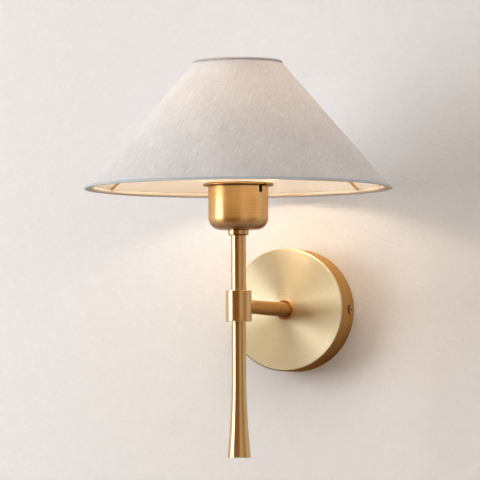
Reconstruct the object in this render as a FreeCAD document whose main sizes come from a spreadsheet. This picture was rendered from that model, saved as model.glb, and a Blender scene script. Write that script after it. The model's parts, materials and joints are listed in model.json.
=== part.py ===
import FreeCAD, Part
import math
import os
from types import SimpleNamespace

import Sketcher
from FreeCAD import Placement, Rotation, Vector

# Wall light with a straight-sided cone shade of fabric, in satin brass.
#
# The row frame has its origin on the wall, on the axis of the arm: +Z is up, -Y is out into the room, and
# +X is to the right of someone facing the light. Heights of the upright's pieces count from the arm's
# axis. Pieces on the arm's axis are drawn with their own Z pointing out of the wall.

SIZES = [
    # Wall plate, turned about the arm's axis.
    ("canopy_radius", 57.0),
    ("canopy_depth", 30.0),
    ("canopy_wall", 1.2),
    ("canopy_edge_radius", 1.5),
    ("side_screw_out", 12.0),
    # Strap behind the plate, fixed to the wall box through two slots.
    ("strap_thickness", 2.0),
    ("strap_width", 20.0),
    ("strap_end_gap", 3.0),
    ("strap_tab_reach", 18.0),
    ("strap_bend_radius", 1.0),
    ("box_screw_spacing", 79.4),
    ("box_slot_width", 4.8),
    ("box_slot_length", 14.4),
    ("wire_hole_radius", 7.0),
    # Screws: two in the plate's side wall and one for the earth wire.
    ("machine_screw_radius", 2.0),
    ("screw_hole_clearance", 0.2),
    ("side_screw_length", 8.0),
    ("side_screw_head_radius", 3.7),
    ("side_screw_head_height", 1.6),
    ("side_screw_dome", 0.5),
    ("hex_key_flats", 2.5),
    ("hex_key_depth", 1.1),
    ("earth_screw_offset", 22.0),
    ("earth_screw_head_radius", 3.6),
    ("earth_screw_head_height", 2.2),
    ("earth_slot_width", 0.9),
    ("earth_slot_depth", 1.0),
    # Arm, its ring on the plate, and what holds it there.
    ("axis_out", 146.0),
    ("arm_radius_wall", 6.9),
    ("arm_radius_hub", 5.95),
    ("wire_bore_radius", 3.5),
    ("arm_ring_radius", 9.2),
    ("arm_ring_thickness", 1.8),
    ("arm_ring_chamfer", 0.6),
    ("thread_radius", 5.0),
    ("thread_clearance", 0.05),
    ("thread_grip", 10.0),
    ("washer_radius", 8.5),
    ("washer_thickness", 1.2),
    ("nut_flats", 14.0),
    ("nut_thickness", 4.0),
    ("nipple_overhang", 3.0),
    # Hub, stems and neck collar, on the lamp's axis.
    ("hub_radius", 11.65),
    ("hub_height", 28.0),
    ("hub_chamfer", 0.4),
    ("hub_seat_depth", 1.8),
    ("upper_stem_radius", 6.8),
    ("upper_stem_length", 50.0),
    ("lower_stem_radius", 6.45),
    ("lower_stem_length", 123.0),
    ("flare_length", 79.0),
    ("flare_radius", 10.5),
    ("stem_foot_chamfer", 0.4),
    ("neck_radius", 9.4),
    ("neck_height", 4.9),
    # Lamp cup and the split flange on its rim.
    ("cup_radius", 27.1),
    ("cup_height", 39.5),
    ("cup_wall", 1.1),
    ("cup_corner_radius", 10.8),
    ("cup_notch_width", 4.4),
    ("cup_notch_depth", 6.4),
    ("notch_azimuth", -20.0),
    ("flange_radius", 31.8),
    ("flange_thickness", 2.2),
    ("flange_edge_radius", 0.7),
    ("flange_skirt_depth", 3.6),
    ("flange_skirt_wall", 1.0),
    ("flange_split_width", 4.2),
    ("fit_clearance", 0.05),
    # Lampholder inside the cup.
    ("holder_radius", 18.6),
    ("holder_cap_height", 14.0),
    ("holder_floor", 3.0),
    ("holder_wall", 3.2),
    ("sleeve_radius", 19.75),
    ("sleeve_rise", 13.0),
    ("sleeve_lip", 1.0),
    ("shell_radius", 13.4),
    ("shell_wall", 0.5),
    ("shell_height", 24.0),
    ("shell_ledge", 5.0),
    ("contact_radius", 4.0),
    ("contact_height", 1.2),
    # Ring that screws down on the shade's carrier.
    ("ring_radius", 25.0),
    ("ring_height", 7.0),
    ("ring_chamfer", 1.0),
    ("ring_grips", 12),
    ("ring_grip_radius", 2.0),
    # Gap between bodies that turn or slide on each other.
    ("running_gap", 0.3),
    ("seat_gap", 0.1),
    # Bulb.
    ("bulb_cap_radius", 13.1),
    ("bulb_cap_wall", 0.5),
    ("bulb_cap_height", 24.0),
    ("bulb_tip_radius", 4.4),
    ("bulb_tip_height", 1.5),
    ("bulb_insulator_height", 4.0),
    ("bulb_neck_height", 8.0),
    ("bulb_radius", 30.0),
    ("bulb_centre_rise", 74.0),
    ("bulb_globe_wall", 1.0),
    ("bulb_housing_rise", 58.0),
    # Shade: carrier, spokes and ring wires.
    ("dish_thickness", 1.0),
    ("dish_flat_radius", 27.0),
    ("dish_cone_radius", 36.5),
    ("dish_rim_radius", 41.0),
    ("dish_rise", 4.2),
    ("spokes", 3),
    ("spoke_azimuth", 54.5),
    ("spoke_wire_radius", 1.3),
    ("spoke_root_radius", 33.0),
    ("spoke_corner_radius", 121.0),
    ("spoke_bend", 9.0),
    ("ring_wire_radius", 1.6),
    # Shade: the laminated skin and the bindings of its edges.
    ("shade_bottom_radius", 138.6),
    ("shade_top_radius", 39.0),
    ("shade_height", 115.4),
    ("shade_drop", 4.3),
    ("fabric_thickness", 0.8),
    ("lining_thickness", 0.5),
    ("binding_thickness", 0.5),
    ("binding_outside", 2.4),
    ("binding_inside", 5.0),
]

WALL = "wall"
LAMP = "lamp"

doc = FreeCAD.newDocument("FabricShadeWallLight")
sheet = doc.addObject("Spreadsheet::Sheet", "Sizes")
for row, (alias, number) in enumerate(SIZES, start=1):
    sheet.set(f"A{row}", alias)
    sheet.set(f"B{row}", str(number))
    sheet.setAlias(f"B{row}", alias)
doc.recompute()


class Length:
    """A size that knows its number and the expression that ties it to the sheet."""

    def __init__(self, value, text):
        self.value = value
        self.text = text

    def join(self, sign, other, value, flip=False):
        first, second = (other, self) if flip else (self, other)
        return Length(value, f"({first.text} {sign} {second.text})")

    def __add__(self, other):
        other = as_length(other)
        return self.join("+", other, self.value + other.value)

    def __sub__(self, other):
        other = as_length(other)
        return self.join("-", other, self.value - other.value)

    def __rsub__(self, other):
        other = as_length(other)
        return self.join("-", other, other.value - self.value, flip=True)

    def __mul__(self, other):
        other = as_length(other)
        return self.join("*", other, self.value * other.value)

    def __truediv__(self, other):
        other = as_length(other)
        return self.join("/", other, self.value / other.value)

    def __neg__(self):
        return Length(-self.value, f"(-{self.text})")

    __radd__ = __add__
    __rmul__ = __mul__


def as_length(number):
    return number if isinstance(number, Length) else Length(number, f"({number})")


def root(length):
    return Length(math.sqrt(length.value), f"sqrt({length.text})")


s = SimpleNamespace(**{alias: Length(number, f"Sizes.{alias}") for alias, number in SIZES})
ZERO = as_length(0)
nodes = {}


def keep(label, obj):
    """Name a finished sub-part; its label is its node's name."""
    obj.Label = label
    nodes[label] = obj
    return obj


def new_body(label, axis, azimuth=None):
    """An empty body on the arm's axis (own Z out of the wall) or on the lamp's upright axis."""
    body = keep(label, doc.addObject("PartDesign::Body", label))
    if axis == WALL:
        body.Placement = Placement(Vector(0, 0, 0), Rotation(Vector(1, 0, 0), 90))
    else:
        body.setExpression("Placement.Base.y", (-s.axis_out).text)
    if azimuth is not None:
        body.setExpression("Placement.Rotation.Angle", azimuth.text)
    return body


def new_sketch(body, role, offset=None):
    plane = next(f for f in body.Origin.OriginFeatures if f.Role == role)
    sketch = body.newObject("Sketcher::SketchObject", f"{body.Label}_sketch")
    sketch.AttachmentSupport = (plane, [""])
    sketch.MapMode = "FlatFace"
    if offset is not None:
        sketch.setExpression("AttachmentOffset.Base.z", offset.text)
    return sketch


def fix(sketch, kind, length, *where):
    """Add one dimension and bind it to the sheet."""
    index = sketch.addConstraint(Sketcher.Constraint(kind, *where, length.value))
    sketch.setExpression(f"Constraints[{index}]", length.text)


def fix_point(sketch, geometry, end, x, y):
    for kind, length, axis in (("DistanceX", x, -2), ("DistanceY", y, -1)):
        if length is ZERO:
            sketch.addConstraint(Sketcher.Constraint("PointOnObject", geometry, end, axis))
        else:
            fix(sketch, kind, length, -1, 1, geometry, end)


def add_circle(sketch, x, y, radius):
    centre = Vector(x.value, y.value, 0)
    geometry = sketch.addGeometry(Part.Circle(centre, Vector(0, 0, 1), radius.value), False)
    if x is ZERO and y is ZERO:
        sketch.addConstraint(Sketcher.Constraint("Coincident", geometry, 3, -1, 1))
    else:
        fix_point(sketch, geometry, 3, x, y)
    fix(sketch, "Radius", radius, geometry)


def arc_between(start, end, radius, left):
    """Arc of less than half a turn from start to end, bending to the left or right."""
    chord = end - start
    side = Vector(-chord.y, chord.x, 0) if left else Vector(chord.y, -chord.x, 0)
    side.normalize()
    centre = (start + end) * 0.5 + side * math.sqrt(radius ** 2 - (chord.Length / 2) ** 2)
    first, last = (start, end) if left else (end, start)
    angles = [math.atan2(p.y - centre.y, p.x - centre.x) for p in (first, last)]
    if angles[1] < angles[0]:
        angles[1] += 2 * math.pi
    return Part.ArcOfCircle(Part.Circle(centre, Vector(0, 0, 1), radius), *angles)


def add_path(sketch, corners, closed=True):
    """Lines and arcs through corners (x, y) or (x, y, radius, "left" or "right").

    The radius and side belong to the arc that leaves that corner. Every corner is tied to the sheet.
    """
    places = [Vector(as_length(c[0]).value, as_length(c[1]).value, 0) for c in corners]
    pieces = []
    for index, corner in enumerate(corners if closed else corners[:-1]):
        start, end = places[index], places[(index + 1) % len(places)]
        if len(corner) == 2:
            geometry = sketch.addGeometry(Part.LineSegment(start, end), False)
            pieces.append((geometry, 1, 2))
            continue
        left = corner[3] == "left"
        geometry = sketch.addGeometry(arc_between(start, end, corner[2].value, left), False)
        pieces.append((geometry, 1, 2) if left else (geometry, 2, 1))
    for index, (geometry, start, _) in enumerate(pieces):
        if closed or index:
            before = pieces[index - 1]
            sketch.addConstraint(Sketcher.Constraint("Coincident", before[0], before[2], geometry, start))
        x, y = [ZERO if part is ZERO or part == 0 else as_length(part) for part in corners[index][:2]]
        fix_point(sketch, geometry, start, x, y)
        if len(corners[index]) > 2:
            fix(sketch, "Radius", corners[index][2], geometry)
    if not closed:
        geometry, _, end = pieces[-1]
        fix_point(sketch, geometry, end, *[as_length(part) for part in corners[-1][:2]])


def add_block(sketch, x_low, x_high, y_low, y_high):
    add_path(sketch, [(x_low, y_low), (x_high, y_low), (x_high, y_high), (x_low, y_high)])


def turned(label, axis, corners, azimuth=None):
    """A body of revolution from an outline of radius and height."""
    body = new_body(label, axis, azimuth)
    sketch = new_sketch(body, "XZ_Plane")
    add_path(sketch, corners)
    feature = body.newObject("PartDesign::Revolution", f"{label}_turning")
    feature.Profile = sketch
    feature.ReferenceAxis = (sketch, ["V_Axis"])
    feature.Angle = 360
    sketch.Visibility = False
    doc.recompute()
    return body


def tube(label, axis, inner, outer, low, high):
    return turned(label, axis, [(inner, low), (outer, low), (outer, high), (inner, high)])


def pad(body, sketch, length, symmetric=False):
    feature = body.newObject("PartDesign::Pad", f"{body.Label}_pad")
    feature.Profile = sketch
    feature.setExpression("Length", length.text)
    if symmetric:
        feature.SideType = "Symmetric"
    doc.recompute()
    return feature


def pocket(body, sketch, length, symmetric=False, reverse=False):
    """Cut a sketch into the body, and make sure that it took something away."""
    before = body.Shape.Volume
    feature = body.newObject("PartDesign::Pocket", f"{body.Label}_pocket")
    feature.Profile = sketch
    feature.setExpression("Length", length.text)
    feature.Reversed = reverse
    if symmetric:
        feature.SideType = "Symmetric"
    doc.recompute()
    if not body.Shape.Volume < before:
        raise RuntimeError(f"a cut in {body.Label} removed nothing")
    return feature


def hexagon(sketch, flats):
    corner = flats / root(as_length(3))
    half = flats / 2
    add_path(sketch, [
        (corner, ZERO), (corner / 2, half), (-(corner / 2), half),
        (-corner, ZERO), (-(corner / 2), -half), (corner / 2, -half),
    ])


def hex_nut(label, axis, low):
    body = new_body(label, axis)
    sketch = new_sketch(body, "XY_Plane", low)
    hexagon(sketch, s.nut_flats)
    add_circle(sketch, ZERO, ZERO, thread_hole)
    pad(body, sketch, s.nut_thickness)
    return body


# Places that several pieces share, worked out from the sizes.

thread_hole = s.thread_radius + s.thread_clearance
screw_hole = s.machine_screw_radius + s.screw_hole_clearance

canopy_inside = s.canopy_depth - s.canopy_wall
arm_start = s.canopy_depth + s.arm_ring_thickness
arm_shoulder = s.axis_out - s.hub_radius + s.hub_seat_depth
spigot_tip = thread_hole + s.thread_clearance
nipple_back = canopy_inside - s.washer_thickness - s.nut_thickness - s.nipple_overhang
strap_reach = s.canopy_radius - s.canopy_wall - s.strap_end_gap

hub_top = s.hub_height / 2
hub_bottom = -hub_top
stem_top = hub_top + s.upper_stem_length
stem_bottom = hub_bottom - s.lower_stem_length
cup_base = stem_top + s.neck_height
cup_floor = cup_base + s.cup_wall
cup_top = cup_base + s.cup_height
cup_bore = s.cup_radius - s.cup_wall
flange_top = cup_top + s.flange_thickness
flange_bore = s.sleeve_radius + s.running_gap

holder_base = cup_floor + s.nut_thickness
holder_seat = holder_base + s.holder_floor
holder_joint = holder_base + s.holder_cap_height
sleeve_top = flange_top + s.sleeve_rise
sleeve_bore = s.shell_radius + s.shell_wall + s.fit_clearance

dish_top = flange_top + s.dish_thickness
brim_top = dish_top + s.dish_rise
spoke_level = brim_top + s.spoke_wire_radius + s.fit_clearance

shade_rim = flange_top - s.shade_drop
shade_top = shade_rim + s.shade_height
shade_run = s.shade_bottom_radius - s.shade_top_radius
shade_slant = root(shade_run * shade_run + s.shade_height * s.shade_height)
taper = shade_run / s.shade_height
slant_over_height = shade_slant / s.shade_height


# The wall plate and the strap behind it.

def make_canopy():
    edge = s.canopy_edge_radius
    bore = thread_hole + s.screw_hole_clearance
    inside = s.canopy_radius - s.canopy_wall
    body = turned("canopy", WALL, [
        (s.canopy_radius, ZERO),
        (s.canopy_radius, s.canopy_depth - edge, edge, "left"),
        (s.canopy_radius - edge, s.canopy_depth),
        (bore, s.canopy_depth),
        (bore, canopy_inside),
        (inside, canopy_inside),
        (inside, ZERO),
    ])
    sketch = new_sketch(body, "YZ_Plane")
    add_circle(sketch, ZERO, s.side_screw_out, screw_hole)
    pocket(body, sketch, s.canopy_radius * 3, symmetric=True)


def add_slot(sketch, centre):
    """A slot along x, its round ends drawn as quarter turns."""
    half_width = s.box_slot_width / 2
    half_length = s.box_slot_length / 2
    left, right = centre - half_length, centre + half_length
    add_path(sketch, [
        (left + half_width, -half_width),
        (right - half_width, -half_width, half_width, "left"),
        (right, ZERO, half_width, "left"),
        (right - half_width, half_width),
        (left + half_width, half_width, half_width, "left"),
        (left, ZERO, half_width, "left"),
    ])


def make_strap():
    """A flat strip with its two ends bent out to take the side screws."""
    bend = s.strap_bend_radius
    outer_bend = bend + s.strap_thickness
    inner = strap_reach - s.strap_thickness
    body = new_body("mounting_strap", WALL)
    sketch = new_sketch(body, "XZ_Plane")
    add_path(sketch, [
        (-(strap_reach - outer_bend), ZERO),
        (strap_reach - outer_bend, ZERO, outer_bend, "left"),
        (strap_reach, outer_bend),
        (strap_reach, s.strap_tab_reach),
        (inner, s.strap_tab_reach),
        (inner, outer_bend, bend, "right"),
        (inner - bend, s.strap_thickness),
        (-(inner - bend), s.strap_thickness, bend, "right"),
        (-inner, outer_bend),
        (-inner, s.strap_tab_reach),
        (-strap_reach, s.strap_tab_reach),
        (-strap_reach, outer_bend, outer_bend, "left"),
    ])
    pad(body, sketch, s.strap_width, symmetric=True)

    through = s.strap_thickness * 3
    holes = new_sketch(body, "XY_Plane")
    add_slot(holes, s.box_screw_spacing / 2)
    add_slot(holes, -(s.box_screw_spacing / 2))
    add_circle(holes, ZERO, ZERO, s.wire_hole_radius)
    add_circle(holes, s.earth_screw_offset, ZERO, s.machine_screw_radius + s.thread_clearance)
    pocket(body, holes, through, symmetric=True)

    taps = new_sketch(body, "YZ_Plane")
    add_circle(taps, ZERO, s.side_screw_out, s.machine_screw_radius + s.thread_clearance)
    pocket(body, taps, strap_reach * 3, symmetric=True)


def make_side_screws():
    """Two button-headed screws with a hexagon socket, one in each side of the plate."""
    head = s.side_screw_head_radius
    shoulder = s.canopy_radius + s.seat_gap
    crown = shoulder + s.side_screw_head_height
    body = new_body("side_screw", WALL)
    del nodes["side_screw"]
    body.Placement = Placement(Vector(0, 0, 0), Rotation(Vector(0, 1, 0), 90))
    body.setExpression("Placement.Base.y", (-s.side_screw_out).text)
    sketch = new_sketch(body, "XZ_Plane")
    add_path(sketch, [
        (ZERO, shoulder - s.side_screw_length),
        (s.machine_screw_radius, shoulder - s.side_screw_length),
        (s.machine_screw_radius, shoulder),
        (head, shoulder),
        (head, crown - s.side_screw_dome, s.side_screw_dome, "left"),
        (head - s.side_screw_dome, crown),
        (ZERO, crown),
    ])
    turning = body.newObject("PartDesign::Revolution", "side_screw_turning")
    turning.Profile = sketch
    turning.ReferenceAxis = (sketch, ["V_Axis"])
    doc.recompute()
    socket = new_sketch(body, "XY_Plane", crown)
    hexagon(socket, s.hex_key_flats)
    pocket(body, socket, s.hex_key_depth)

    mirror = doc.addObject("Part::Mirroring", "side_screw_left")
    mirror.Source = body
    mirror.Base = Vector(0, 0, 0)
    mirror.Normal = Vector(1, 0, 0)
    pair = doc.addObject("Part::Compound", "side_screws")
    pair.Links = [body, mirror]
    keep("side_screws", pair)


def make_earth_screw():
    top = s.strap_thickness + s.earth_screw_head_height
    body = turned("earth_screw", WALL, [
        (ZERO, ZERO),
        (s.machine_screw_radius, ZERO),
        (s.machine_screw_radius, s.strap_thickness),
        (s.earth_screw_head_radius, s.strap_thickness),
        (s.earth_screw_head_radius, top),
        (ZERO, top),
    ])
    body.setExpression("Placement.Base.x", s.earth_screw_offset.text)
    half_width = s.earth_slot_width / 2
    reach = s.earth_screw_head_radius * 2
    sketch = new_sketch(body, "XY_Plane", top)
    add_block(sketch, -reach, reach, -half_width, half_width)
    pocket(body, sketch, s.earth_slot_depth)


# The arm, from the plate to the hub.

def make_arm():
    arm_socket = arm_start + s.thread_grip
    turned("arm", WALL, [
        (thread_hole, arm_start),
        (s.arm_radius_wall, arm_start),
        (s.arm_radius_hub, arm_shoulder),
        (s.thread_radius, arm_shoulder),
        (s.thread_radius, s.axis_out - spigot_tip),
        (s.wire_bore_radius, s.axis_out - spigot_tip),
        (s.wire_bore_radius, arm_socket),
        (thread_hole, arm_socket),
    ])
    chamfer = s.arm_ring_chamfer
    turned("arm_ring", WALL, [
        (thread_hole, s.canopy_depth),
        (s.arm_ring_radius, s.canopy_depth),
        (s.arm_ring_radius, arm_start - chamfer),
        (s.arm_ring_radius - chamfer, arm_start),
        (thread_hole, arm_start),
    ])
    tube("arm_nipple", WALL, s.wire_bore_radius, s.thread_radius, nipple_back, arm_socket)
    washer_back = canopy_inside - s.washer_thickness
    tube("arm_lock_washer", WALL, thread_hole, s.washer_radius, washer_back, canopy_inside)
    hex_nut("arm_nut", WALL, washer_back - s.nut_thickness)


# The upright: hub, stems, neck collar and their nipples.

def make_hub():
    chamfer = s.hub_chamfer
    radius = s.hub_radius
    body = turned("hub", LAMP, [
        (thread_hole, hub_bottom),
        (radius - chamfer, hub_bottom),
        (radius, hub_bottom + chamfer),
        (radius, hub_top - chamfer),
        (radius - chamfer, hub_top),
        (thread_hole, hub_top),
    ])
    bore = new_sketch(body, "XZ_Plane")
    add_circle(bore, ZERO, ZERO, thread_hole)
    pocket(body, bore, radius * 2)
    seat = new_sketch(body, "XZ_Plane", -(radius - s.hub_seat_depth))
    add_circle(seat, ZERO, ZERO, s.arm_radius_hub + s.fit_clearance)
    pocket(body, seat, radius)


def make_stems():
    lower_socket = hub_top + s.thread_grip
    upper_socket = stem_top - s.thread_grip
    turned("upper_stem", LAMP, [
        (thread_hole, hub_top),
        (s.upper_stem_radius, hub_top),
        (s.upper_stem_radius, stem_top),
        (thread_hole, stem_top),
        (thread_hole, upper_socket),
        (s.wire_bore_radius, upper_socket),
        (s.wire_bore_radius, lower_socket),
        (thread_hole, lower_socket),
    ])
    tube("stem_nipple", LAMP, s.wire_bore_radius, s.thread_radius, spigot_tip, lower_socket)

    spread = s.flare_radius - s.lower_stem_radius
    flare_curve = (s.flare_length * s.flare_length + spread * spread) / (spread * 2)
    chamfer = s.stem_foot_chamfer
    turned("lower_stem", LAMP, [
        (ZERO, stem_bottom),
        (s.flare_radius - chamfer, stem_bottom),
        (s.flare_radius, stem_bottom + chamfer, flare_curve, "right"),
        (s.lower_stem_radius, stem_bottom + chamfer + s.flare_length),
        (s.lower_stem_radius, hub_bottom),
        (s.thread_radius, hub_bottom),
        (s.thread_radius, -spigot_tip),
        (ZERO, -spigot_tip),
    ])
    tube("neck_collar", LAMP, thread_hole, s.neck_radius, stem_top, cup_base)
    tube("cup_nipple", LAMP, s.wire_bore_radius, s.thread_radius, upper_socket, holder_seat)


# The lamp cup and its flange.

def make_cup():
    corner = s.cup_corner_radius
    inner_corner = corner - s.cup_wall
    body = turned("lamp_cup", LAMP, [
        (thread_hole, cup_base),
        (s.cup_radius - corner, cup_base, corner, "left"),
        (s.cup_radius, cup_base + corner),
        (s.cup_radius, cup_top),
        (cup_bore, cup_top),
        (cup_bore, cup_base + corner, inner_corner, "right"),
        (s.cup_radius - corner, cup_floor),
        (thread_hole, cup_floor),
    ], azimuth=s.notch_azimuth)
    half_width = s.cup_notch_width / 2
    notch = new_sketch(body, "YZ_Plane")
    add_block(notch, -half_width, half_width, cup_top - s.cup_notch_depth, cup_top + s.cup_wall)
    pocket(body, notch, s.cup_radius * 2, reverse=True)
    hex_nut("cup_nut", LAMP, cup_floor)


def make_flange():
    """A sprung ring: a flat flange on the cup's rim, with a skirt that grips inside it."""
    skirt = cup_bore - s.fit_clearance
    skirt_inside = skirt - s.flange_skirt_wall
    skirt_end = cup_top - s.flange_skirt_depth
    edge = s.flange_edge_radius
    rim = s.flange_radius
    body = turned("cup_flange", LAMP, [
        (flange_bore, cup_top),
        (skirt_inside, cup_top),
        (skirt_inside, skirt_end),
        (skirt, skirt_end),
        (skirt, cup_top),
        (rim - edge, cup_top, edge, "left"),
        (rim, cup_top + edge),
        (rim, flange_top - edge, edge, "left"),
        (rim - edge, flange_top),
        (flange_bore, flange_top),
    ], azimuth=s.notch_azimuth)
    half_width = s.flange_split_width / 2
    split = new_sketch(body, "YZ_Plane")
    add_block(split, -half_width, half_width, skirt_end - edge, flange_top + edge)
    pocket(body, split, rim * 2, reverse=True)


# The lampholder, and the ring that screws on its sleeve.

def make_lampholder():
    cavity = s.holder_radius - s.holder_wall
    turned("lampholder_cap", LAMP, [
        (thread_hole, holder_base),
        (s.holder_radius, holder_base),
        (s.holder_radius, holder_joint),
        (cavity, holder_joint),
        (cavity, holder_seat),
        (thread_hole, holder_seat),
    ])
    insert = cavity - s.fit_clearance
    tube("lampholder_insert", LAMP, ZERO, insert, holder_seat, holder_joint)
    contact_top = holder_joint + s.contact_height
    tube("lampholder_contact", LAMP, ZERO, s.contact_radius, holder_joint, contact_top)
    shell_outside = s.shell_radius + s.shell_wall
    ledge = holder_joint + s.shell_wall
    shell_top = holder_joint + s.shell_height
    turned("lampholder_shell", LAMP, [
        (s.shell_radius - s.shell_ledge, holder_joint),
        (shell_outside, holder_joint),
        (shell_outside, shell_top),
        (s.shell_radius, shell_top),
        (s.shell_radius, ledge),
        (s.shell_radius - s.shell_ledge, ledge),
    ])
    lip = s.sleeve_lip
    turned("lampholder_sleeve", LAMP, [
        (sleeve_bore, holder_joint),
        (s.sleeve_radius, holder_joint),
        (s.sleeve_radius, sleeve_top - lip),
        (s.sleeve_radius - lip, sleeve_top),
        (sleeve_bore + lip, sleeve_top),
        (sleeve_bore, sleeve_top - lip),
    ])


def make_retaining_ring():
    inside = s.sleeve_radius + s.running_gap
    low = dish_top
    high = dish_top + s.ring_height
    chamfer = s.ring_chamfer
    body = turned("retaining_ring", LAMP, [
        (inside, low),
        (s.ring_radius, low),
        (s.ring_radius, high - chamfer),
        (s.ring_radius - chamfer, high),
        (inside, high),
    ])
    sketch = new_sketch(body, "XY_Plane", high)
    add_circle(sketch, s.ring_radius + s.ring_grip_radius / 2, ZERO, s.ring_grip_radius)
    grip = pocket(body, sketch, s.ring_height - s.ring_chamfer)
    pattern = body.newObject("PartDesign::PolarPattern", "retaining_ring_grips")
    pattern.Originals = [grip]
    axis = next(f for f in body.Origin.OriginFeatures if f.Role == "Z_Axis")
    pattern.Axis = (axis, [""])
    pattern.Angle = 360
    pattern.setExpression("Occurrences", s.ring_grips.text)
    body.Tip = pattern
    doc.recompute()


# The bulb, which screws into the shell.

def make_bulb():
    tip = holder_joint + s.contact_height + s.running_gap
    insulator = tip + s.bulb_tip_height
    cap = insulator + s.bulb_insulator_height
    cap_top = cap + s.bulb_cap_height
    neck_top = cap_top + s.bulb_neck_height
    centre = tip + s.bulb_centre_rise
    joint = tip + s.bulb_housing_rise
    below_centre = s.bulb_centre_rise - s.bulb_housing_rise
    rim = root(s.bulb_radius * s.bulb_radius - below_centre * below_centre)
    inner = s.bulb_radius - s.bulb_globe_wall
    inner_rim = root(inner * inner - below_centre * below_centre)
    plug = s.bulb_cap_radius - s.bulb_cap_wall - s.fit_clearance
    tube("bulb_tip", LAMP, ZERO, s.bulb_tip_radius, tip, insulator)
    turned("bulb_insulator", LAMP, [
        (ZERO, insulator),
        (s.bulb_tip_radius, insulator),
        (s.bulb_cap_radius - s.bulb_cap_wall, cap),
        (ZERO, cap),
    ])
    tube("bulb_cap", LAMP, plug + s.fit_clearance, s.bulb_cap_radius, cap, cap_top)
    turned("bulb_housing", LAMP, [
        (ZERO, cap),
        (plug, cap),
        (plug, cap_top),
        (s.bulb_cap_radius, cap_top),
        (s.bulb_cap_radius, neck_top),
        (rim, joint),
        (ZERO, joint),
    ])
    turned("bulb_globe", LAMP, [
        (inner_rim, joint),
        (rim, joint, s.bulb_radius, "left"),
        (s.bulb_radius, centre, s.bulb_radius, "left"),
        (ZERO, centre + s.bulb_radius),
        (ZERO, centre + inner, inner, "right"),
        (inner, centre, inner, "right"),
    ])


# The shade: carrier dish, spokes and ring wires.

def skin_radius(height, depth):
    """Radius of the cone that lies this deep inside the fabric's outer face, at a height."""
    return s.shade_bottom_radius - (height - shade_rim) * taper - depth * slant_over_height


def make_dish():
    bore = s.sleeve_radius + s.running_gap
    turned("carrier_dish", LAMP, [
        (bore, flange_top),
        (s.dish_flat_radius, flange_top),
        (s.dish_cone_radius, flange_top + s.dish_rise),
        (s.dish_rim_radius, flange_top + s.dish_rise),
        (s.dish_rim_radius, brim_top),
        (s.dish_cone_radius, brim_top),
        (s.dish_flat_radius, dish_top),
        (bore, dish_top),
    ])


skin_depth = s.fabric_thickness + s.lining_thickness + s.binding_thickness + s.fit_clearance * 3
wire_inset = skin_depth + s.ring_wire_radius + s.seat_gap
bottom_wire_level = shade_rim + s.ring_wire_radius
top_wire_level = shade_top - s.ring_wire_radius
bottom_wire_circle = skin_radius(bottom_wire_level, wire_inset)
top_wire_circle = skin_radius(top_wire_level, wire_inset)


def make_ring_wire(label, circle, level):
    wire = keep(label, doc.addObject("Part::Torus", label))
    wire.setExpression("Radius1", circle.text)
    wire.setExpression("Radius2", s.ring_wire_radius.text)
    wire.setExpression("Placement.Base.y", (-s.axis_out).text)
    wire.setExpression("Placement.Base.z", level.text)
    doc.recompute()


def make_spoke(number):
    """A wire that lies on the dish's brim, runs out level and bends down to the bottom ring."""
    across = bottom_wire_circle - s.spoke_corner_radius
    down = spoke_level - bottom_wire_level
    length = root(across * across + down * down)
    cosine, sine = across / length, down / length
    tangent = s.spoke_bend * sine / (cosine + 1)
    reach = length - s.ring_wire_radius - s.seat_gap
    azimuth = s.spoke_azimuth + as_length(number) * 360 / s.spokes
    body = new_body(f"spoke_{number + 1}", LAMP, azimuth)
    path = new_sketch(body, "XZ_Plane")
    add_path(path, [
        (s.spoke_root_radius, spoke_level),
        (s.spoke_corner_radius - tangent, spoke_level, s.spoke_bend, "right"),
        (s.spoke_corner_radius + tangent * cosine, spoke_level - tangent * sine),
        (s.spoke_corner_radius + reach * cosine, spoke_level - reach * sine),
    ], closed=False)
    section = new_sketch(body, "YZ_Plane", s.spoke_root_radius)
    add_circle(section, ZERO, spoke_level, s.spoke_wire_radius)
    doc.recompute()
    sweep = body.newObject("PartDesign::AdditivePipe", f"{body.Label}_sweep")
    sweep.Profile = section
    sweep.Spine = (path, ["Edge1", "Edge2", "Edge3"])
    doc.recompute()


# The shade's laminated skin and the bindings of its edges.

def make_skin(label, depth, thickness):
    """One layer of the cone, cut level at both ends."""
    inner = depth + thickness
    turned(label, LAMP, [
        (skin_radius(shade_rim, inner), shade_rim),
        (skin_radius(shade_rim, depth), shade_rim),
        (skin_radius(shade_top, depth), shade_top),
        (skin_radius(shade_top, inner), shade_top),
    ])


def make_binding(label, edge, up):
    """A folded strip round one edge of the skin; up is +1 where its legs point up and -1 where down."""
    gap, thick = s.fit_clearance, s.binding_thickness
    inner_face = s.fabric_thickness + s.lining_thickness + gap * 2
    near, far = edge - gap * up, edge - (gap + thick) * up
    outside, inside = edge + s.binding_outside * up, edge + s.binding_inside * up
    corners = [
        (skin_radius(far, inner_face + thick), far),
        (skin_radius(far, -(gap + thick)), far),
        (skin_radius(outside, -(gap + thick)), outside),
        (skin_radius(outside, -gap), outside),
        (skin_radius(near, -gap), near),
        (skin_radius(near, inner_face), near),
        (skin_radius(inside, inner_face), inside),
        (skin_radius(inside, inner_face + thick), inside),
    ]
    turned(label, LAMP, corners)


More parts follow.
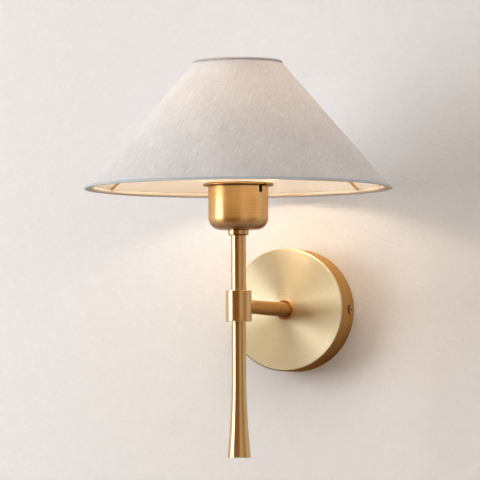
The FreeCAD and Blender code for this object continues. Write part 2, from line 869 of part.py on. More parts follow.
make_canopy()
make_strap()
make_side_screws()
make_earth_screw()
make_arm()
make_hub()
make_stems()
make_cup()
make_flange()
make_lampholder()
make_retaining_ring()
make_bulb()
make_dish()
make_ring_wire("bottom_ring_wire", bottom_wire_circle, bottom_wire_level)
make_ring_wire("top_ring_wire", top_wire_circle, top_wire_level)
for spoke in range(int(s.spokes.value)):
    make_spoke(spoke)
make_skin("shade_fabric", ZERO, s.fabric_thickness)
make_skin("shade_lining", s.fabric_thickness + s.fit_clearance, s.lining_thickness)
make_binding("bottom_binding", shade_rim, 1)
make_binding("top_binding", shade_top, -1)
doc.recompute()

for obj in doc.Objects:
    if "Invalid" in obj.State or "Error" in obj.State:
        raise RuntimeError(f"{obj.Label} is not valid: {obj.State}")
for label, obj in nodes.items():
    if obj.Shape.isNull() or not obj.Shape.isValid():
        raise RuntimeError(f"the shape of {label} is null or not valid")

os.makedirs("parts", exist_ok=True)
for label, obj in nodes.items():
    obj.Shape.exportStep(f"parts/{label}.step")
    print(f"{label}: {len(obj.Shape.Solids)} solid(s), {obj.Shape.Volume / 1000:.3f} cm3")
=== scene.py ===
import json
from math import cos, pi, radians, sin, sqrt

import bpy
from mathutils import Matrix, Vector, noise


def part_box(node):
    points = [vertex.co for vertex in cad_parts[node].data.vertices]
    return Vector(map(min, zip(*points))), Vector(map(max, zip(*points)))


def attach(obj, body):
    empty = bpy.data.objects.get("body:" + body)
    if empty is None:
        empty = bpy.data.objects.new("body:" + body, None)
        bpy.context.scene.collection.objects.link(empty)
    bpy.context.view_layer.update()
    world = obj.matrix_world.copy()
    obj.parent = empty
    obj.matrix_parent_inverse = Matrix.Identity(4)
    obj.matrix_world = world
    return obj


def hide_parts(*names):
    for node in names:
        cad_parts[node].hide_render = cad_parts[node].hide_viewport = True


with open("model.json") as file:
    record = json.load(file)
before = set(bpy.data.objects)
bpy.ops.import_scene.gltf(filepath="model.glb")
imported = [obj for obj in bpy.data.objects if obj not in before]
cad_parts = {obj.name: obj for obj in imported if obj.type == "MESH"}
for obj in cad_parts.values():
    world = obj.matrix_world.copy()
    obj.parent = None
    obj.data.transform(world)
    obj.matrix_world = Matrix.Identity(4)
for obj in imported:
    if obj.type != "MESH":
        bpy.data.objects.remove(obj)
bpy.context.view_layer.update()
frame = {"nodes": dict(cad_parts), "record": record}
scene = bpy.context.scene

MM = 0.001
LAMP = Vector((0, -0.146, 0))          # foot of the lamp's upright axis
VIEW_CENTRE = Vector((0, -0.06, 0))    # what the camera circles
LIT_CENTRE = Vector((0, -0.1, 0.05))   # what the soft box faces
FOCAL_PIXELS, PICTURE_PIXELS = 4341.1, 480


# The camera and the studio.

def outward(azimuth, elevation):
    """Direction from the light: azimuth 0 is out of the wall and 90 along +X, in degrees."""
    a, e = radians(azimuth), radians(elevation)
    return Vector((sin(a) * cos(e), -cos(a) * cos(e), sin(e)))


def place_camera():
    """The photograph's point of view: where it stands, then how far it turns from the light's middle."""
    azimuth, elevation, distance = 21.3, -1.9679, 4.0
    turn, tilt, roll = 0.4364, -0.9097, radians(-0.2015)
    forward = -outward(azimuth + turn, elevation + tilt)
    right = forward.cross(Vector((0, 0, 1))).normalized()
    up = right.cross(forward)
    right, up = cos(roll) * right + sin(roll) * up, cos(roll) * up - sin(roll) * right
    lens = bpy.data.cameras.new("camera")
    lens.lens = lens.sensor_width * FOCAL_PIXELS / PICTURE_PIXELS
    camera = bpy.data.objects.new("camera", lens)
    camera.matrix_world = Matrix((right, up, -forward)).transposed().to_4x4()
    camera.location = VIEW_CENTRE + outward(azimuth, elevation) * distance
    scene.collection.objects.link(camera)
    scene.camera = camera


def place_lamp(name, azimuth, elevation, distance, size, watts, colour):
    """A soft box that faces the light."""
    lamp = bpy.data.lights.new(name, "AREA")
    lamp.shape = "RECTANGLE"
    lamp.size, lamp.size_y = size
    lamp.energy = watts
    lamp.color = colour
    holder = bpy.data.objects.new(name, lamp)
    direction = outward(azimuth, elevation)
    holder.location = LIT_CENTRE + direction * distance
    holder.rotation_mode = "QUATERNION"
    holder.rotation_quaternion = direction.to_track_quat("Z", "Y")
    scene.collection.objects.link(holder)


class Tree:
    """Writes a node tree. A value is a number, a tuple, a socket or a node whose first output is meant."""

    def __init__(self, tree):
        self.tree = tree
        tree.nodes.clear()

    def node(self, kind, inputs=(), **settings):
        made = self.tree.nodes.new("ShaderNode" + kind)
        for key, value in settings.items():
            setattr(made, key, value)
        for key, value in dict(inputs).items():
            self.feed(made.inputs[key], value)
        return made

    def feed(self, socket, value):
        if isinstance(value, bpy.types.Node):
            value = value.outputs[0]
        if isinstance(value, bpy.types.NodeSocket):
            self.tree.links.new(value, socket)
        else:
            socket.default_value = value

    def math(self, operation, *values, clamp=False):
        return self.node("Math", enumerate(values), operation=operation, use_clamp=clamp).outputs[0]

    def vector(self, x=0.0, y=0.0, z=0.0):
        return self.node("CombineXYZ", enumerate((x, y, z))).outputs[0]

    def range(self, value, low, high, to_low=0.0, to_high=1.0, how="LINEAR"):
        ends = enumerate((value, low, high, to_low, to_high))
        return self.node("MapRange", ends, interpolation_type=how).outputs[0]

    def split(self, vector):
        return self.node("SeparateXYZ", {0: vector}).outputs

    def place(self, kind="Object"):
        return self.node("TexCoord").outputs[kind]

    def normal(self):
        return self.split(self.node("NewGeometry").outputs["Normal"])

    def noise(self, place, scale, detail=2.0, roughness=0.5):
        inputs = {"Vector": place, "Scale": scale, "Detail": detail, "Roughness": roughness}
        return self.node("TexNoise", inputs).outputs[0]

    def ramp(self, value, stops, ease=False):
        made = self.node("ValToRGB", {0: value})
        ramp = made.color_ramp
        ramp.interpolation = "EASE" if ease else "LINEAR"
        for index, (place, colour) in enumerate(stops):
            stop = ramp.elements[index] if index < 2 else ramp.elements.new(place)
            stop.position = place
            stop.color = (*colour, 1)
        return made.outputs[0]

    def blend(self, share, first, second):
        made = self.node("Mix", data_type="RGBA")
        for index, value in ((0, share), (6, first), (7, second)):
            if isinstance(value, tuple):
                value = (*value, 1)
            self.feed(made.inputs[index], value)
        return made.outputs[2]

    def bump(self, height, strength, distance):
        return self.node("Bump", {"Height": height, "Strength": strength, "Distance": distance}).outputs[0]

    def finish(self, surface, kind="Material"):
        output = self.node("Output" + kind)
        self.feed(output.inputs["Surface"], surface)


def studio_world():
    """
    A pale room round the object, a little warmer above on the right. Level with it, the left side holds a
    bright strip, the middle before the wall is dim and the right side is tan.
    """
    world = bpy.data.worlds.new("studio")
    scene.world = world
    world.use_nodes = True
    t = Tree(world.node_tree)
    axes = t.split(t.place("Generated"))
    azimuth = t.math("ARCTAN2", axes[0], t.math("MULTIPLY", axes[1], -1.0))
    elevation = t.math("DEGREES", t.math("ARCSINE", axes[2]))

    def all_round(stops, ease=False):
        """Colours by azimuth in degrees."""
        places = [((angle + 180) / 360, colour) for angle, colour in stops]
        return t.ramp(t.range(azimuth, -pi, pi), places, ease)

    pale, strip, beside = (0.27, 0.265, 0.26), (0.85, 0.83, 0.79), (0.40, 0.35, 0.28)
    dim, tan, brown = (0.20, 0.085, 0.018), (0.58, 0.46, 0.32), (0.36, 0.26, 0.17)
    high, warm, below = (1.08, 1.08, 1.04), (1.14, 1.05, 1.03), (0.20, 0.16, 0.12)
    floor_ends, ceiling_starts = (-64.0, -50.0), (15.0, 27.0)
    level = all_round([(-180, pale), (-112, pale), (-100, strip), (-72, strip), (-45, beside), (-36, dim),
                       (22, dim), (34, tan), (52, tan), (72, brown), (105, brown)])
    above = all_round([(-180, high), (-10, high), (25, warm), (100, warm), (140, high)], ease=True)
    surround = t.blend(t.range(elevation, *floor_ends, how="SMOOTHSTEP"), below, level)
    surround = t.blend(t.range(elevation, *ceiling_starts, how="SMOOTHSTEP"), surround, above)
    t.finish(t.node("Background", {0: surround, 1: 1.0}), "World")


def new_material(name):
    material = bpy.data.materials.new(name)
    material.use_nodes = True
    return material, Tree(material.node_tree)


def stage_plane(name, corners, material):
    mesh = bpy.data.meshes.new(name)
    mesh.from_pydata(corners, [], [(0, 1, 2, 3)])
    plane = bpy.data.objects.new(name, mesh)
    mesh.materials.append(material)
    scene.collection.objects.link(plane)


def stage_material(name, colour, one_sided):
    """Plain paint. The wall is seen through from behind, so that views of the back still show the light."""
    material, t = new_material(name)
    place = t.place()
    trowelled = t.math("MULTIPLY", t.noise(place, 60.0, 3.0, 0.6), 0.35)
    rolled = t.math("MULTIPLY", t.noise(place, 300.0, 3.0, 0.65), 0.65)
    height = t.math("ADD", trowelled, rolled)
    shades = (tuple(c * share for c in colour) for share in (0.975, 1.02))
    paint = t.node("BsdfPrincipled", {
        "Base Color": t.blend(t.range(height, 0.35, 0.65), *shades),
        "Roughness": 0.9,
        "Specular IOR Level": 0.2,
        "Normal": t.bump(height, 0.35, 0.002),
    })
    if one_sided:
        behind = t.node("NewGeometry").outputs["Backfacing"]
        shadow = t.node("LightPath").outputs["Is Shadow Ray"]
        seen_through = t.math("MAXIMUM", behind, shadow)
        paint = t.node("MixShader", {0: seen_through, 1: paint, 2: t.node("BsdfTransparent")})
    t.finish(paint)
    return material


def make_studio():
    place_camera()
    studio_world()
    place_lamp("window_box", azimuth=-56, elevation=9, distance=2.2, size=(1.2, 1.3), watts=29.6,
               colour=(0.98, 0.985, 1.0))
    wall = stage_material("wall_paint", (0.838, 0.855, 0.877), one_sided=True)
    floor = stage_material("floor_paint", (0.60, 0.57, 0.53), one_sided=False)
    across, up, down, near, gap = 1.6, 1.4, 1.5, 1.25, 0.0008
    stage_plane("wall", [(-across, gap, -down), (across, gap, -down),
                         (across, gap, up), (-across, gap, up)], wall)
    stage_plane("floor", [(-across, -near, -down), (across, -near, -down),
                          (across, across, -down), (-across, across, -down)], floor)


# Materials.

def hypotenuse(t, a, b):
    return t.math("SQRT", t.math("ADD", t.math("MULTIPLY", a, a), t.math("MULTIPLY", b, b)))


def turned_place(t, axis):
    """
    Cosine and sine of the angle, radius and height about the lamp's or the arm's axis, in metres, and how
    far the surface faces along it.
    """
    place, facing = t.split(t.place()), t.normal()
    if axis == "LAMP":
        a, b, along, ahead = place[0], t.math("SUBTRACT", place[1], LAMP.y), place[2], facing[2]
    else:
        a, b, along, ahead = place[0], place[2], place[1], facing[1]
    radius = hypotenuse(t, a, b)
    safe = t.math("MAXIMUM", radius, 1e-5)
    return t.math("DIVIDE", a, safe), t.math("DIVIDE", b, safe), radius, along, t.math("ABSOLUTE", ahead)


def screw_distance(t):
    """Distance from the side screws' axis, in metres."""
    place = t.split(t.place())
    low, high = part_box("side_screws")
    height = t.math("SUBTRACT", place[2], (low.z + high.z) / 2)
    depth = t.math("SUBTRACT", place[1], (low.y + high.y) / 2)
    return hypotenuse(t, height, depth)


FINE_LINES, COARSE_LINES = 0.45 * MM, 1.9 * MM      # how far apart the brushing lines lie
SCREW_SHADE_RADII = (4.9 * MM, 4.1 * MM)                   # where the ring of painted shade round a screw fades in
PLATE_EDGE = (55.6 * MM, 56.4 * MM)                 # where the rim's painted highlight and painted shade fade in, from the plate's middle
SEAM_LINE, WEAR_AND_HIGHLIGHT_LINE = (1.1 * MM, 0.4 * MM), (0.9 * MM, 0.25 * MM)    # where each fades in, from its height
# Screw colour: painted shade round each side screw. Shaded rim: painted shade along the bottom of the plate's
# rim. Bright edge: wear on the lamp's edges, a painted highlight along the top of the plate's rim.
SCREW_SHADE, SHADED_RIM, WEAR_AND_HIGHLIGHT_EDGE = (0.10, 0.045, 0.015), (0.16, 0.09, 0.03), (0.93, 0.76, 0.48)
# Seam colour: dirt in the seams and painted contact shadow. Underside colour: painted shade on downward
# faces.
SEAM_DIRT_AND_SHADE, UNDERSIDE_SHADE = (0.20, 0.10, 0.035), (0.19, 0.085, 0.022)


def brushed(name, axis, light, deep, roughness, anisotropy, edges=(), band=None, seam_dirt_and_shade=(), contrast=1.0,
            coat=0.0):
    """
    Metal brushed round its axis as it turned, then lacquered when its colour had begun to age.
    Edges are heights along the axis with a bright line: wear from handling on the lamp, but on the wall plate
    a
    painted highlight along the top of the rim and painted shade along its bottom. The seam heights get dark
    lines:
    dirt in the seams and painted contact shadow. Band is a deeper colour for the wall plate's side, a painted
    reflection of the shaded wall beside it, with a ring of painted shade round each side screw.
    """
    material, t = new_material(name)
    cosine, sine, radius, along, ahead = turned_place(t, axis)

    def lines(spacing, turns):
        """Brushing lines: rings at one height on the sides, rings of one radius on the ends."""
        round_it = [t.math("MULTIPLY", part, turns) for part in (cosine, sine)]
        sides, ends = (t.noise(t.vector(*round_it, t.math("DIVIDE", way, spacing)), 1.0, 2.0, 0.65)
                       for way in (along, radius))
        mixed = t.node("Mix", {0: t.range(ahead, 0.55, 0.85), 2: sides, 3: ends}, data_type="FLOAT")
        return mixed.outputs[0]

    def near(level, span, most=1.0):
        return t.range(t.math("ABSOLUTE", t.math("SUBTRACT", along, level)), *span, 0.0, most)

    fine, coarse = lines(FINE_LINES, 1.5), lines(COARSE_LINES, 0.8)
    streaks = t.math("ADD", t.math("MULTIPLY", fine, 0.5), t.math("MULTIPLY", coarse, 0.5))
    patches = t.noise(t.place(), 34.0, 3.0, 0.55)
    streaked = t.range(streaks, 0.38, 0.62, 0.4 - 0.35 * contrast, 0.4 + 0.35 * contrast)
    aged = t.math("ADD", streaked, t.range(patches, 0.42, 0.72, -0.05, 0.3), clamp=True)
    colour = t.blend(aged, light, deep)
    if band:
        # Painted shade: a dark ring on the plate's side round each side screw, for the shaded gap under its
        # head.
        ring = t.range(screw_distance(t), *SCREW_SHADE_RADII, 0.0, 0.9)
        screw_shade_mask = t.math("MULTIPLY", ring, t.range(ahead, 0.5, 0.3))
        # Painted reflection: the plate's side takes a deeper colour, for the dim, shaded wall that it
        # reflects.
        side = t.blend(aged, band, tuple(c * 0.8 for c in band))
        colour = t.blend(t.range(ahead, 0.75, 0.25), colour, side)
        colour = t.blend(screw_shade_mask, colour, SCREW_SHADE)
    if edges:
        worn = near(edges[0], WEAR_AND_HIGHLIGHT_LINE)
        for edge in edges[1:]:
            worn = t.math("MAXIMUM", worn, near(edge, WEAR_AND_HIGHLIGHT_LINE))
        worn = t.math("MULTIPLY", worn, t.range(patches, 0.3, 0.6, 0.35, 0.95))
        # On the wall plate the rim line is painted light: painted shade along its bottom, a painted highlight
        # on its top.
        if axis == "WALL":
            worn = t.math("MULTIPLY", worn, t.range(radius, *PLATE_EDGE))
            colour = t.blend(t.math("MULTIPLY", worn, t.range(sine, 0.25, -0.2)), colour, SHADED_RIM)
            worn = t.math("MULTIPLY", worn, t.range(sine, -0.1, 0.4))
        colour = t.blend(worn, colour, WEAR_AND_HIGHLIGHT_EDGE)
    # Dark lines where one part meets the next: dirt in the seam and painted contact shadow.
    for level in seam_dirt_and_shade:
        colour = t.blend(near(level, SEAM_LINE, 0.95), colour, SEAM_DIRT_AND_SHADE)
    # Painted shade: faces that point downwards are darkened towards deep brown.
    colour = t.blend(t.range(t.normal()[2], -0.1, -0.8, 0.0, 0.92), colour, UNDERSIDE_SHADE)
    gloss = t.range(streaks, 0.38, 0.62, roughness - 0.04 * contrast, roughness + 0.05 * contrast)
    surface = t.node("BsdfPrincipled", {
        "Base Color": colour,
        "Metallic": 1.0,
        "Coat Weight": coat,
        "Coat Roughness": 0.2,
        "Coat IOR": 1.65,
        "Coat Tint": (0.97, 0.90, 0.79, 1),
        "Specular Tint": (0.62, 0.42, 0.26, 1),
        "Roughness": t.math("ADD", gloss, t.range(patches, 0.3, 0.7, -0.015, 0.025)),
        "Anisotropic": anisotropy,
        "Anisotropic Rotation": 0.25,
        "Tangent": t.node("Tangent", direction_type="RADIAL", axis="Z" if axis == "LAMP" else "Y"),
        "Normal": t.bump(streaks, 0.12, 0.000012 * contrast),
    })
    t.finish(surface)
    return material


SOCKET_SHADE_RADII, HEAD_RIM_SHADE_RADII = (1.9 * MM, 1.4 * MM), (3.1 * MM, 3.6 * MM)    # radii of the painted shade in a side screw head's socket and round its rim


def plain_metal(name, light, deep, roughness, grain=900.0, metallic=1.0, socket=False):
    """
    Machined or plated metal with faint handling marks and stains. Socket paints shade into the middle and
    round the rim of the side screws' heads.
    """
    material, t = new_material(name)
    stains = t.noise(t.place(), 160.0, 4.0, 0.6)
    marks = t.noise(t.place(), grain, 3.0, 0.6)
    colour = t.blend(t.range(stains, 0.38, 0.68), light, deep)
    if socket:
        # Painted shade in the hex socket and round the head's rim.
        colour = t.blend(t.range(screw_distance(t), *SOCKET_SHADE_RADII, 0.0, 0.95), colour, (0.05, 0.025, 0.01))
        colour = t.blend(t.range(screw_distance(t), *HEAD_RIM_SHADE_RADII, 0.0, 0.8), colour, (0.10, 0.05, 0.02))
    surface = t.node("BsdfPrincipled", {
        "Base Color": colour,
        "Metallic": metallic,
        "Roughness": t.range(marks, 0.3, 0.7, roughness - 0.06, roughness + 0.08),
        "Normal": t.bump(marks, 0.25, 0.00003),
    })
    t.finish(surface)
    return material


def moulded(name, colour, worn, roughness, coat=0.0):
    """Plastic, enamel or glaze: an even colour that dust and handling have dulled in places."""
    material, t = new_material(name)
    dull = t.noise(t.place(), 70.0, 4.0, 0.6)
    skin = t.noise(t.place(), 1400.0, 2.0, 0.5)
    surface = t.node("BsdfPrincipled", {
        "Base Color": t.blend(t.range(dull, 0.42, 0.7), colour, worn),
        "Roughness": t.range(dull, 0.35, 0.7, roughness, roughness + 0.14),
        "Coat Weight": coat,
        "Coat Roughness": 0.12,
        "Normal": t.bump(skin, 0.2, 0.00004),
    })
    t.finish(surface)
    return material


def lit_opal():
    """Opal glass lit from within, yellower at its neck. It throws less light upwards than down."""
    material, t = new_material("lit_opal")
    neck, shoulder, downwards, upwards = 0.147, 0.168, 24.0, 8.5
    cloud = t.noise(t.place(), 90.0, 3.0, 0.6)
    glow = t.blend(t.range(t.split(t.place())[2], neck, shoulder), (1.0, 0.74, 0.51), (1.0, 0.86, 0.69))
    surface = t.node("BsdfPrincipled", {
        "Base Color": t.blend(t.range(cloud, 0.4, 0.7), (0.95, 0.93, 0.89), (0.90, 0.87, 0.82)),
        "Roughness": t.range(cloud, 0.3, 0.7, 0.28, 0.38),
        "Emission Color": glow,
        "Emission Strength": t.range(t.normal()[2], -1.0, 1.0, downwards, upwards),
        "Normal": t.bump(cloud, 0.1, 0.0001),
    })
    t.finish(surface)
    return material


def shining_plastic():
    """Opal plastic that the bulb shines through."""
    material, t = new_material("opal_plastic")
    dull = t.noise(t.place(), 80.0, 4.0, 0.6)
    colour = t.blend(t.range(dull, 0.4, 0.7), (0.94, 0.91, 0.85), (0.88, 0.84, 0.76))
    body = t.node("BsdfPrincipled", {"Base Color": colour, "Roughness": t.range(dull, 0.3, 0.7, 0.25, 0.38)})
    glow = t.node("BsdfTranslucent", {"Color": (0.97, 0.94, 0.88, 1)})
    t.finish(t.node("MixShader", {0: 0.72, 1: body, 2: glow}))
    return material


def taped(name):
    """A ring wire bound in cotton tape, whose turns overlap all the way round."""
    material, t = new_material(name)
    per_radian, per_metre_up, overlap = 14.0, 90.0, 0.14
    place = t.split(t.place())
    angle = t.math("ARCTAN2", place[0], t.math("SUBTRACT", place[1], LAMP.y))
    wound = t.math("ADD", t.math("MULTIPLY", angle, per_radian), t.math("MULTIPLY", place[2], per_metre_up))
    turns = t.math("FRACT", wound)
    weave = t.noise(t.place(), 1300.0, 2.0, 0.6)
    tone = t.math("MULTIPLY", t.range(turns, 0.0, overlap), t.range(weave, 0.3, 0.7, 0.6, 1.0))
    height = t.math("ADD", t.math("MULTIPLY", turns, 0.5), t.math("MULTIPLY", weave, 0.3))
    surface = t.node("BsdfPrincipled", {
        "Base Color": t.blend(tone, (0.58, 0.49, 0.40), (0.70, 0.61, 0.51)),
        "Roughness": 0.85,
        "Normal": t.bump(height, 0.3, 0.0002),
    })
    t.finish(surface)
    return material


def woven(name, light, shaded, through, transmit, slubs=1.0, inside=None):
    """
    Plain-weave linen in the flat cut's own metres, which the UV map holds. Inside is a painted colour for its
    face towards the bulb: the bulb's warm light painted on.
    """
    material, t = new_material(name)
    across, along = t.split(t.place("UV"))[:2]

    def thread(width, length):
        """Two crossing sets of threads: noise stretched along each."""
        def one_way(x_step, y_step):
            place = t.vector(t.math("DIVIDE", across, x_step), t.math("DIVIDE", along, y_step))
            return t.noise(place, 1.0, 2.0, 0.6)
        return one_way(width, length), one_way(length, width)

    warp, weft = thread(0.75 * MM, 9 * MM)
    thick_warp, thick_weft = thread(1.2 * MM, 17 * MM)
    slub = t.math("MAXIMUM", t.range(thick_warp, 0.54, 0.74), t.range(thick_weft, 0.58, 0.78, 0.0, 0.5))
    gap = t.math("MAXIMUM", t.range(thick_warp, 0.44, 0.28), t.range(thick_weft, 0.42, 0.26, 0.0, 0.5))
    uneven = t.math("SUBTRACT", slub, gap)
    weave = t.math("MAXIMUM", warp, weft)
    clouds = t.noise(t.place("UV"), 26.0, 3.0, 0.55)
    tone = t.math("ADD", t.range(weave, 0.42, 0.68, 0.0, 0.45), t.range(clouds, 0.35, 0.65, 0.12, 0.3))
    tone = t.math("ADD", tone, t.math("MULTIPLY", uneven, 0.55 * slubs), clamp=True)
    normal = t.bump(t.math("ADD", weave, t.math("MULTIPLY", slub, 0.7 * slubs)), 0.6, 0.00025)
    colour = t.blend(tone, shaded, light)
    # Painted light: the face towards the bulb takes a warmer colour, as if lit by it.
    if inside:
        cosine, sine = turned_place(t, "LAMP")[:2]
        facing = t.normal()
        along_x, along_y = t.math("MULTIPLY", cosine, facing[0]), t.math("MULTIPLY", sine, facing[1])
        out_facing = t.math("ADD", along_x, along_y)
        colour = t.blend(t.range(out_facing, 0.2, -0.2), colour, inside)
    body = t.node("BsdfPrincipled", {
        "Base Color": colour,
        "Roughness": 0.92,
        "Specular IOR Level": 0.2,
        "Sheen Weight": 0.1,
        "Sheen Roughness": 0.4,
        "Normal": normal,
    })
    held_back = tuple(c * 0.78 for c in through)
    shone = t.blend(t.range(uneven, -0.6, 0.6), through, held_back)
    glow = t.node("BsdfTranslucent", {"Color": shone, "Normal": normal})
    t.finish(t.node("MixShader", {0: transmit, 1: body, 2: glow}))
    return material


def laminate():
    """The smooth warm-white film that stiffens the cloth, with the weave showing through it faintly."""
    material, t = new_material("laminate")
    weave = t.noise(t.place("UV"), 1500.0, 2.0, 0.6)
    clouds = t.noise(t.place("UV"), 24.0, 3.0, 0.6)
    tone = t.math("ADD", t.math("MULTIPLY", weave, 0.4), t.math("MULTIPLY", clouds, 0.6))
    colour = t.blend(t.range(tone, 0.35, 0.65), (0.95, 0.935, 0.90), (0.985, 0.975, 0.95))
    normal = t.bump(weave, 0.2, 0.0001)
    body = t.node("BsdfPrincipled", {"Base Color": colour, "Roughness": 0.55, "Normal": normal})
    glow = t.node("BsdfTranslucent", {"Color": (0.95, 0.84, 0.70, 1), "Normal": normal})
    t.finish(t.node("MixShader", {0: 0.16, 1: body, 2: glow}))
    return material


BRASS, DEEP_BRASS = (0.82, 0.59, 0.30), (0.70, 0.44, 0.17)
SEEN_THROUGH_HEM = (0.90, 0.82, 0.72)
LAMP_EDGES = [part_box("hub")[0].z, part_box("hub")[1].z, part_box("lower_stem")[0].z]
# Heights of the dark seam lines, which are dirt and painted contact shadow.
CUP_EDGES = [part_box("lamp_cup")[1].z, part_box("cup_flange")[1].z]
COLLAR_EDGES = [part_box("neck_collar")[end].z for end in (0, 1)]
PLATE_EDGES = [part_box("canopy")[0].y]

finishes = {
    "lamp_brass": brushed("lamp_brass", "LAMP", BRASS, DEEP_BRASS, 0.23, 0.65, LAMP_EDGES,
                          seam_dirt_and_shade=COLLAR_EDGES, contrast=0.35, coat=0.8),
    # The plate's brass is paler than the lamp's: painted light for its bright reflection. Its side band is
    # painted dark reflection.
    "lit_wall_brass": brushed("lit_wall_brass", "WALL", (0.94, 0.875, 0.65), (0.88, 0.80, 0.53), 0.49, 0.83,
                          PLATE_EDGES, band=(0.66, 0.40, 0.15)),
    "arm_brass": brushed("arm_brass", "WALL", (0.86, 0.60, 0.28), (0.76, 0.46, 0.17), 0.25, 0.6,
                         contrast=0.3, coat=0.4),
    # The lower stem's brass is a darker copy of the lamp's: painted shade for its darker reflections.
    "shaded_stem_brass": brushed("shaded_stem_brass", "LAMP", (0.76, 0.56, 0.28), (0.63, 0.42, 0.17), 0.22, 0.6,
                          LAMP_EDGES, contrast=0.3, coat=0.6),
    "flange_brass": brushed("flange_brass", "LAMP", (0.88, 0.56, 0.22), (0.80, 0.46, 0.14), 0.28, 0.5,
                            seam_dirt_and_shade=CUP_EDGES, contrast=0.3),
    "cup_brass": brushed("cup_brass", "LAMP", (0.83, 0.57, 0.26), (0.74, 0.45, 0.15), 0.37, 0.74,
                         seam_dirt_and_shade=CUP_EDGES, contrast=0.8, coat=0.6),
    "antique_screw": plain_metal("antique_screw", (0.78, 0.48, 0.26), (0.55, 0.32, 0.15), 0.34, socket=True),
    "plain_brass": plain_metal("plain_brass", (0.83, 0.66, 0.36), (0.66, 0.46, 0.22), 0.24),
    "zinc_steel": plain_metal("zinc_steel", (0.66, 0.66, 0.64), (0.48, 0.47, 0.43), 0.36, grain=500.0),
    "green_screw": plain_metal("green_screw", (0.07, 0.27, 0.10), (0.04, 0.16, 0.06), 0.4, metallic=0.6),
    "black_phenolic": moulded("black_phenolic", (0.018, 0.017, 0.016), (0.05, 0.045, 0.04), 0.3),
    "white_ceramic": moulded("white_ceramic", (0.86, 0.84, 0.79), (0.76, 0.72, 0.64), 0.16, coat=0.5),
    "nickel": plain_metal("nickel", (0.74, 0.72, 0.68), (0.58, 0.55, 0.50), 0.22),
    "black_glass": moulded("black_glass", (0.012, 0.012, 0.016), (0.03, 0.03, 0.035), 0.08),
    "white_plastic": moulded("white_plastic", (0.88, 0.87, 0.84), (0.80, 0.77, 0.71), 0.32),
    "opal_glass": lit_opal(),
    "opal_plastic": shining_plastic(),
    "taped_wire": taped("taped_wire"),
    "brassed_wire": plain_metal("brassed_wire", (0.80, 0.60, 0.30), (0.60, 0.40, 0.18), 0.28),
    "linen": woven("linen", (0.86, 0.895, 0.945), (0.495, 0.52, 0.555), (0.97, 0.85, 0.73), transmit=0.29),
    # The hem's inside colour is painted bulb light on its inner face.
    "linen_hem": woven("linen_hem", (0.57, 0.635, 0.67), (0.42, 0.46, 0.48), SEEN_THROUGH_HEM,
                       transmit=0.08, slubs=0.4, inside=(0.60, 0.53, 0.45)),
    "linen_top": woven("linen_top", (0.86, 0.86, 0.87), (0.66, 0.66, 0.67), SEEN_THROUGH_HEM,
                       transmit=0.4, slubs=0.4),
    "laminate": laminate(),
}
BRASS_OF = {"canopy": "lit_wall_brass", "arm_ring": "arm_brass", "arm": "arm_brass", "lower_stem": "shaded_stem_brass",
            "lamp_cup": "cup_brass", "cup_flange": "flange_brass"}
REPLACED_SLOTS = ("linen", "linen_binding", "shade_lining")    # the sheets below stand for these solids


def dress_nodes():
    """Every CAD node that stays gets its finish, in its object's material slots."""
    slots = {part["node"]: part["material_slot"] for part in frame["record"]["subparts"]}
    for name, piece in frame["nodes"].items():
        wanted = BRASS_OF.get(name, slots[name])
        if wanted in REPLACED_SLOTS:
            continue
        finish = finishes["lamp_brass" if wanted == "satin_brass" else wanted]
        if not piece.material_slots:
            piece.data.materials.append(finish)
        for slot in piece.material_slots:
            slot.material = finish


# The shade's cloth, lining and hems.

BOTTOM_RADIUS, TOP_RADIUS = 138.6 * MM, 39.0 * MM
RIM, TOP = 106.3 * MM, 221.7 * MM
RUN, RISE = BOTTOM_RADIUS - TOP_RADIUS, TOP - RIM
SLANT = sqrt(RUN * RUN + RISE * RISE)
OUT = Vector((RISE / SLANT, RUN / SLANT))      # outward normal of the cone's side, as radius and height
APEX_SLANT = BOTTOM_RADIUS * SLANT / RUN
SECTOR = RUN / SLANT                           # flat angle of the cut for each radian round the cone
MIDDLE = radians(-11)                          # where the cut's middle lies: its ends meet opposite

CLOTH_COLUMNS, CLOTH_ROWS, HEM_COLUMNS = 288, 49, 360
CLOTH_DEPTH, FILM_DEPTH = 0.25 * MM, 1.15 * MM          # how far each lies inside the shade's outer skin
CLOTH_RIPPLE, FILM_RIPPLE, RIPPLES = 0.5 * MM, 0.12 * MM, 26.0
LAP, LAP_LIFT, LAP_STEP = 10 * MM, 0.45 * MM, 1.5 * MM  # the glued overlap, its rise and the run of that rise
HEM_THICK, HEM_INSIDE, SHADE_THICK = 0.5 * MM, 4.8 * MM, 1.4 * MM


def skin_point(angle, height, lift):
    """Point of the shade at a height: angle 0 faces the room, and lift is along the outward normal."""
    radius = TOP_RADIUS + (TOP - height) * RUN / RISE + lift / OUT.x
    return Vector((radius * sin(angle), LAMP.y - radius * cos(angle), height))


def flat_point(angle, height):
    """The same place on the flat cut, whose grain runs up and down at its middle."""
    reach = APEX_SLANT - (height - RIM) * SLANT / RISE
    return reach * sin((angle - MIDDLE) * SECTOR), -reach * cos((angle - MIDDLE) * SECTOR)


def mesh_piece(name, points, faces, uvs, material, body):
    mesh = bpy.data.meshes.new(name)
    mesh.from_pydata(points, [], faces)
    layer = mesh.uv_layers.new(name="flat_cut")
    for loop in mesh.loops:
        layer.data[loop.index].uv = uvs[loop.vertex_index]
    mesh.materials.append(material)
    for polygon in mesh.polygons:
        polygon.use_smooth = True
    piece = bpy.data.objects.new(name, mesh)
    scene.collection.objects.link(piece)
    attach(piece, body)
    return piece


def grid_faces(columns, rows, closed=False):
    """Quads of a grid whose columns run round the shade."""
    faces = []
    for column in range(columns if closed else columns - 1):
        first, after = column * rows, (column + 1) % columns * rows
        for row in range(rows - 1):
            faces.append((first + row, first + row + 1, after + row + 1, after + row))
    return faces


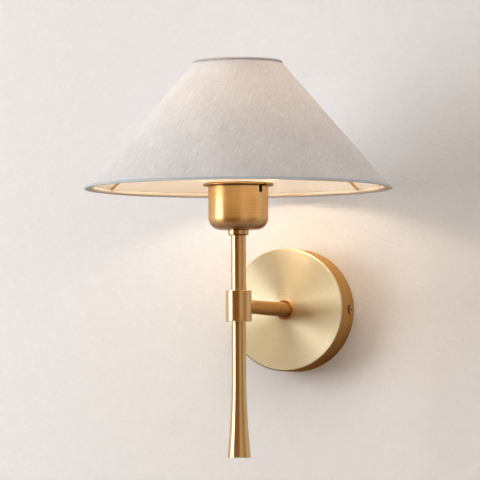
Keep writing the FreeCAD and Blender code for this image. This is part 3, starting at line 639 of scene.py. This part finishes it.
def close_strip(columns, rows):
    """Quads from the last row back to the first, so that the strip is a closed band."""
    faces = []
    for column in range(columns):
        first, after = column * rows, (column + 1) % columns * rows
        faces.append((first + rows - 1, first, after, after + rows - 1))
    return faces


def make_cloth(name, depth, lap, material, ripple):
    """One sheet of the shade, wrapped round so that its ends meet or overlap at the wall side."""
    columns, rows = CLOTH_COLUMNS, CLOTH_ROWS
    half = pi + lap / 2 / BOTTOM_RADIUS
    points, uvs = [], []
    for column in range(columns):
        turn = -half + 2 * half * column / (columns - 1)
        angle = MIDDLE + turn
        past = (turn - half) * BOTTOM_RADIUS + lap
        raised = min(1.0, max(0.0, past / LAP_STEP + 1.0)) * LAP_LIFT if lap else 0.0
        for row in range(rows):
            height = TOP + (RIM - TOP) * row / (rows - 1)
            free = sin(pi * row / (rows - 1)) ** 0.5
            wave = noise.noise(skin_point(angle, height, 0.0) * RIPPLES) * ripple * free
            points.append(skin_point(angle, height, wave + raised - depth))
            uvs.append(flat_point(angle, height))
    return mesh_piece(name, points, grid_faces(columns, rows), uvs, material, "shade")


def make_hem(name, edge, up, outside, finish):
    """A narrow strip folded over one edge of the shade and glued down, a little uneven as hand work is."""
    columns, shares = HEM_COLUMNS, (1.0, 0.8, 0.55, 0.3, 0.1)
    turns = [pi * step / 10 for step in range(11)]
    middle, spread = -SHADE_THICK / 2, SHADE_THICK / 2 + HEM_THICK / 2
    path = [(outside * share, middle + spread) for share in shares]
    path += [(-0.6 * spread * sin(turn), middle + spread * cos(turn)) for turn in turns]
    path += [(HEM_INSIDE * share, middle - spread) for share in reversed(shares)]
    path = [Vector(place) for place in path]
    section = []
    for index, place in enumerate(path):
        ahead = path[min(index + 1, len(path) - 1)] - path[max(index - 1, 0)]
        section.append((place, Vector((-ahead.y, ahead.x)).normalized()))
    rows = 2 * len(section)
    points, uvs = [], []
    for column in range(columns):
        angle = 2 * pi * column / columns
        around = Vector((cos(angle), sin(angle), up * 0.7)) * 9.0
        wander = noise.noise(around) * 0.3 * MM
        swell = 0.94 + noise.noise(around * 4.0) * 0.2
        for side, part in ((0.5, section), (-0.5, section[::-1])):
            for place, normal in part:
                reach, lift = place + normal * side * HEM_THICK * swell
                reach += wander * max(0.0, reach / outside) if lift > middle else 0.0
                level = edge + up * reach * RISE / SLANT
                points.append(skin_point(angle, level, lift))
                uvs.append((angle * BOTTOM_RADIUS, reach + lift))
    faces = grid_faces(columns, rows, closed=True) + close_strip(columns, rows)
    return mesh_piece(name, points, faces, uvs, finishes[finish], "shade")


def make_shade():
    lower = make_hem("bottom_hem", RIM, 1, 2.6 * MM, "linen_hem")
    upper = make_hem("top_hem", TOP, -1, 1.5 * MM, "linen_top")
    cloth = make_cloth("shade_cloth", CLOTH_DEPTH, LAP, finishes["linen"], CLOTH_RIPPLE)
    film = finishes["laminate"]
    lining = make_cloth("shade_inner_film", FILM_DEPTH, 0.0, film, FILM_RIPPLE)
    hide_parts("bottom_binding")
    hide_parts("top_binding")
    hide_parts("shade_fabric")
    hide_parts("shade_lining")


make_studio()
dress_nodes()
make_shade()

scene.view_settings.view_transform = "Standard"
